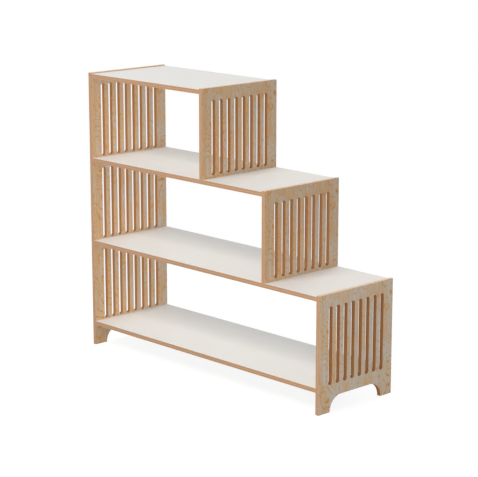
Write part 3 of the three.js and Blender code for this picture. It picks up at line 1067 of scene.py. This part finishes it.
def ply_edge(name, finish, colours, place_of, thickness):
    """Cut edge of plywood: plies that alternate along and across the grain, with thin glue lines between.

    place_of gives the depth into the board in its first part and the run along the edge in its second.
    colours are those of the pale plies, the dark plies and the glue.
    """
    nodes = Coat(name, finish)
    pale, dark, glue_colour = (solid(colour) for colour in colours)
    place = place_of(nodes)
    depth = nodes.math("DIVIDE", nodes.parts(place)[0], thickness)
    plies = nodes.math("MULTIPLY", depth, PLY_COUNT)
    crosswise = nodes.math("GREATER_THAN", nodes.math("MODULO", plies, 2.0), 1.0)
    band = nodes.math("COSINE", nodes.math("MULTIPLY", depth, PLY_BANDS * 2 * math.pi))
    band_darkness = nodes.ramp(band, -1.0, 1.0, 1.0 - CROSS_PLY_SHARE, 0.0)
    darkness = nodes.math("ADD", nodes.math("MULTIPLY", crosswise, CROSS_PLY_SHARE), band_darkness)
    texture = nodes.mix(crosswise, nodes.noise(place, PLY_STREAKS), nodes.noise(place, PLY_PORES))
    base = nodes.mix(darkness, pale, dark)
    rough = nodes.mix(nodes.ramp(texture, *PLY_TEXTURE_FADE), base, dark, "MULTIPLY")
    off_middle = nodes.math("ABSOLUTE", nodes.math("SUBTRACT", nodes.math("FRACT", plies), 0.5))
    glued = nodes.mix(nodes.ramp(off_middle, *GLUE_FADE), rough, glue_colour)
    return nodes.dressed(glued, texture)


def core_place(lowest, pitch):
    """Place on a shelf core's edge. Its height in the core is worked out from the pitch of the shelves."""

    def place_of(nodes):
        x, y, z = nodes.parts(nodes.object_place())
        height = nodes.math("MODULO", nodes.math("SUBTRACT", z, lowest), pitch)
        return nodes.add("ShaderNodeCombineXYZ", {0: height, 1: nodes.math("ADD", x, y)})

    return place_of


def white_laminate(name, colour, mottle_colour):
    """Satin white facing with a hint of mottling and a fine orange peel."""
    nodes = Coat(name, LAMINATE_FINISH)
    spot = nodes.object_place()
    mottled = nodes.mix(nodes.faded(spot, LAMINATE_MOTTLE), solid(colour), solid(mottle_colour))
    nodes.vary_gloss(spot, LAMINATE_GLOSS)
    return nodes.dressed(mottled, nodes.noise(spot, LAMINATE_PEEL))


def plated_zinc(colours):
    """Bright plated metal with faint clouding and fine scratches."""
    nodes = Coat("plated_zinc", ZINC_FINISH)
    spot = nodes.object_place()
    clouded = nodes.mix(nodes.faded(spot, ZINC_CLOUDS), solid(colours.zinc), solid(colours.zinc_bright))
    nodes.vary_gloss(spot, ZINC_GLOSS)
    return nodes.dressed(clouded, nodes.noise(spot, ZINC_SCRATCHES))


def raw_beech(colours):
    """Pale wood with short dark flecks along X."""
    nodes = Coat("raw_beech", BEECH_FINISH)
    flecks = nodes.faded(nodes.object_place(), BEECH_FLECKS)
    flecked = nodes.mix(flecks, solid(colours.beech), solid(colours.beech_fleck))
    return nodes.dressed(flecked, flecks)


# Stage


def stage_floor(settings):
    """Pale floor that looks white, keeps a soft shadow near the bookshelf and throws back a grey light."""
    material = bpy.data.materials.new("stage_floor")
    material.use_nodes = True
    material.node_tree.nodes.clear()
    nodes = Nodes(material.node_tree)
    lit = nodes.add("ShaderNodeBsdfDiffuse", {"Color": solid([FLOOR_LIT_GREY] * 3)})
    glow = nodes.add("ShaderNodeEmission", {"Color": solid(WHITE), "Strength": FLOOR_GLOW})
    shaded = nodes.add("ShaderNodeAddShader", {0: lit, 1: glow})
    plain = nodes.add("ShaderNodeEmission", {"Color": solid(WHITE), "Strength": 1.0})
    distance = nodes.add("ShaderNodeVectorMath", {0: nodes.object_place()}, operation="LENGTH")
    seen = nodes.add("ShaderNodeMixShader", {0: nodes.ramp(distance, *FLOOR_FADE), 1: shaded, 2: plain})
    thrown = nodes.add("ShaderNodeBsdfDiffuse", {"Color": solid([settings.floor_grey] * 3)})
    look = nodes.add("ShaderNodeMixShader", {0: nodes.seen_plainly(), 1: thrown, 2: seen})
    nodes.make("ShaderNodeOutputMaterial", {"Surface": look})
    return material


def room_world(settings):
    """White to the camera and in reflections, and a plain soft light on everything else."""
    world = bpy.data.worlds.new("room")
    world.use_nodes = True
    world.node_tree.nodes.clear()
    nodes = Nodes(world.node_tree)
    seen = nodes.seen_plainly()
    strength = nodes.ramp(seen, 0.0, 1.0, settings.room_light, 1.0)
    light = nodes.mix(seen, solid(settings.room_colour), solid(WHITE))
    background = nodes.add("ShaderNodeBackground", {"Color": light, "Strength": strength})
    nodes.make("ShaderNodeOutputWorld", {"Surface": background})
    return world


def studio_lamp(name, settings):
    """A square lamp that faces the middle of the bookshelf and doesn't show itself."""
    data = bpy.data.lights.new(name, "AREA")
    data.color = settings.back_lamp_colour if name == "back_lamp" else settings.lamp_colour
    data.energy = getattr(settings, f"{name}_power")
    data.size = settings.lamp_size
    lamp = bpy.data.objects.new(name, data)
    bpy.context.scene.collection.objects.link(lamp)
    turn, rise = np.radians(LAMP_PLACES[name])
    level = math.cos(rise)
    back = Vector((math.sin(turn) * level, -math.cos(turn) * level, math.sin(rise)))
    lamp.location = Vector((0, 0, LAMP_AIM_HEIGHT)) + back * settings.lamp_distance
    lamp.visible_camera = False
    lamp.visible_glossy = False
    lamp.rotation_mode = "QUATERNION"
    lamp.rotation_quaternion = back.to_track_quat("Z", "Y")


# Operators, one for each piece or group of like pieces, and one for the stage


def show_fittings(scene, nodes, build, finish_of, slot):
    """Builds and shows one piece for each node, all in one finish."""
    finish = finish_of(scene.bookshelf_colours)
    for node in nodes:
        show(f"{node}_{slot}", build(node, scene.bookshelf_fittings, finish), node)


class BOOKSHELF_OT_side_panels(bpy.types.Operator):
    """Build the four slotted plywood side panels."""

    bl_idname = "bookshelf.side_panels"
    bl_label = "Side panels"

    def execute(self, context):
        scene = context.scene
        for node in PANELS:
            shell = panel_shell(node, scene.bookshelf_boards, scene.bookshelf_fittings)
            finishes = self.finishes(node, scene.bookshelf_colours)
            show(f"{node}_birch", shell.mesh(node, finishes), node)
        return {"FINISHED"}

    def finishes(self, node, colours):
        """Materials of one panel, in the order FACE, CUT_EDGE, ROUTED_EDGE, LIT_TOP_EDGE."""
        lowest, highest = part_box(node)
        thickness = highest.x - lowest.x
        cut = (colours.ply_pale, colours.ply_dark, colours.glue_line)
        routed = (colours.shaded_routed_pale, colours.shaded_routed_dark, colours.glue_line)
        # Each panel's routed plies are made lighter or darker by its share: painted light and shade
        routed = [toned(part, ROUTED_LIGHT_SHADE_SHARES[node]) for part in routed]
        # The top edge is the cut edge's plies made lighter: painted light from above
        top = (colours.lit_top_pale, colours.lit_top_dark, colours.ply_dark)
        return [
            lit_birch_face(node, colours),
            ply_edge(f"{node}_cut_edge", CUT_PLY_FINISH, cut, board_place, thickness),
            ply_edge(f"{node}_routed_edge", ROUTED_PLY_FINISH, routed, board_place, thickness),
            ply_edge(f"{node}_top_edge", CUT_PLY_FINISH, top, board_place, thickness),
        ]


class BOOKSHELF_OT_shelf_cores(bpy.types.Operator):
    """Give the shelves' plywood cores their layered edge. The CAD solids stay."""

    bl_idname = "bookshelf.shelf_cores"
    bl_label = "Shelf cores"

    def execute(self, context):
        lowest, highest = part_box("bottom_shelf_core")
        place_of = core_place(lowest.z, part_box("third_shelf_core")[0].z - lowest.z)
        colours = context.scene.bookshelf_colours
        plies = (colours.ply_pale, colours.ply_dark, colours.glue_line)
        edge = ply_edge("birch_core_edge", CUT_PLY_FINISH, plies, place_of, highest.z - lowest.z)
        for shelf in SHELVES:
            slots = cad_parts[f"{shelf}_core"].data.materials
            slots.clear()
            slots.append(edge)
        return {"FINISHED"}


class BOOKSHELF_OT_shelf_facings(bpy.types.Operator):
    """Build the white facings above and below every shelf."""

    bl_idname = "bookshelf.shelf_facings"
    bl_label = "Shelf facings"

    def execute(self, context):
        scene = context.scene
        colours = scene.bookshelf_colours
        cut = white_laminate("white_laminate_edge", colours.laminate_edge, colours.laminate_mottle)
        white = white_laminate("white_laminate", colours.laminate, colours.laminate_mottle)
        for shelf in SHELVES:
            for sheet in ("upper", "lower"):
                node = f"{shelf}_{sheet}_facing"
                shell = facing_shell(shelf, sheet, scene.bookshelf_boards, scene.bookshelf_fittings)
                show(f"{node}_sheet", shell.mesh(node, [white, cut, cut]), node)
        return {"FINISHED"}


class BOOKSHELF_OT_cam_locks(bpy.types.Operator):
    """Build the cam locks in the undersides of the shelves."""

    bl_idname = "bookshelf.cam_locks"
    bl_label = "Cam locks"

    def execute(self, context):
        finish = plated_zinc(context.scene.bookshelf_colours)
        for node in CAM_LOCKS:
            piece = show(f"{node}_zinc", cam_mesh(node, finish), node)
            bevel = piece.modifiers.new("bevel", "BEVEL")
            bevel.width = CAM_BEVEL
            bevel.segments = CAM_BEVEL_SEGMENTS
            bevel.limit_method = "ANGLE"
            bevel.angle_limit = SHARP_ANGLE
        return {"FINISHED"}


class BOOKSHELF_OT_cam_bolts(bpy.types.Operator):
    """Build the threaded cam bolts between the panels and the shelves."""

    bl_idname = "bookshelf.cam_bolts"
    bl_label = "Cam bolts"

    def execute(self, context):
        show_fittings(context.scene, CAM_BOLTS, bolt_mesh, plated_zinc, "zinc")
        return {"FINISHED"}


class BOOKSHELF_OT_dowels(bpy.types.Operator):
    """Build the fluted beech dowels in the shelf ends."""

    bl_idname = "bookshelf.dowels"
    bl_label = "Dowels"

    def execute(self, context):
        show_fittings(context.scene, DOWELS, dowel_mesh, raw_beech, "beech")
        return {"FINISHED"}


class BOOKSHELF_OT_screws(bpy.types.Operator):
    """Build the screws that hold the short panels on their shelves."""

    bl_idname = "bookshelf.screws"
    bl_label = "Screws"

    def execute(self, context):
        show_fittings(context.scene, SCREWS, screw_mesh, plated_zinc, "zinc")
        return {"FINISHED"}


class BOOKSHELF_OT_stage(bpy.types.Operator):
    """Set the pale floor, the soft lamps and the camera."""

    bl_idname = "bookshelf.stage"
    bl_label = "Stage"

    def execute(self, context):
        scene = context.scene
        settings = scene.bookshelf_stage
        self.add_floor(scene, settings)
        for name in LAMP_PLACES:
            studio_lamp(name, settings)
        scene.world = room_world(settings)
        self.add_camera(scene, settings)
        scene.view_settings.view_transform = "Standard"
        return {"FINISHED"}

    def add_floor(self, scene, settings):
        """A flat square round the origin."""
        half = FLOOR_HALF_WIDTH
        corners = [(x, y, 0) for x, y in rectangle((-half, -half), (half, half))]
        data = bpy.data.meshes.new("stage_floor")
        data.from_pydata(corners, [], [(0, 1, 2, 3)])
        data.materials.append(stage_floor(settings))
        floor = bpy.data.objects.new("stage_floor", data)
        scene.collection.objects.link(floor)

    def add_camera(self, scene, settings):
        data = bpy.data.cameras.new("camera")
        data.sensor_width = SENSOR_WIDTH_MM
        data.lens = settings.camera_lens
        data.clip_end = CAMERA_REACH
        camera = bpy.data.objects.new("camera", data)
        scene.collection.objects.link(camera)
        camera.location = settings.camera_place
        camera.rotation_euler = settings.camera_turn
        scene.camera = camera


OPERATORS = (
    BOOKSHELF_OT_side_panels,
    BOOKSHELF_OT_shelf_cores,
    BOOKSHELF_OT_shelf_facings,
    BOOKSHELF_OT_cam_locks,
    BOOKSHELF_OT_cam_bolts,
    BOOKSHELF_OT_dowels,
    BOOKSHELF_OT_screws,
    BOOKSHELF_OT_stage,
)
GROUPS = {
    "bookshelf_boards": BoardSizes,
    "bookshelf_fittings": FittingSizes,
    "bookshelf_colours": FinishColours,
    "bookshelf_stage": StageSettings,
}


class BOOKSHELF_PT_panel(bpy.types.Panel):
    """Lists the steps of the bookshelf and its settings in the sidebar."""

    bl_idname = "BOOKSHELF_PT_panel"
    bl_label = "Staircase Bookshelf"
    bl_space_type = "VIEW_3D"
    bl_region_type = "UI"
    bl_category = "Bookshelf"

    def draw(self, context):
        for operator in OPERATORS:
            self.layout.operator(operator.bl_idname)
        for name, group in GROUPS.items():
            box = self.layout.box()
            for setting in group.__annotations__:
                box.prop(getattr(context.scene, name), setting)


def register():
    for name, group in GROUPS.items():
        bpy.utils.register_class(group)
        setattr(bpy.types.Scene, name, bpy.props.PointerProperty(type=group))
    for operator in OPERATORS:
        bpy.utils.register_class(operator)
    bpy.utils.register_class(BOOKSHELF_PT_panel)


def unregister():
    bpy.utils.unregister_class(BOOKSHELF_PT_panel)
    for operator in reversed(OPERATORS):
        bpy.utils.unregister_class(operator)
    for name, group in GROUPS.items():
        delattr(bpy.types.Scene, name)
        bpy.utils.unregister_class(group)


def main():
    register()
    bpy.ops.bookshelf.side_panels()
    bpy.ops.bookshelf.shelf_cores()
    bpy.ops.bookshelf.shelf_facings()
    bpy.ops.bookshelf.cam_locks()
    bpy.ops.bookshelf.cam_bolts()
    bpy.ops.bookshelf.dowels()
    bpy.ops.bookshelf.screws()
    bpy.ops.bookshelf.stage()


if __name__ == "__main__":
    main()
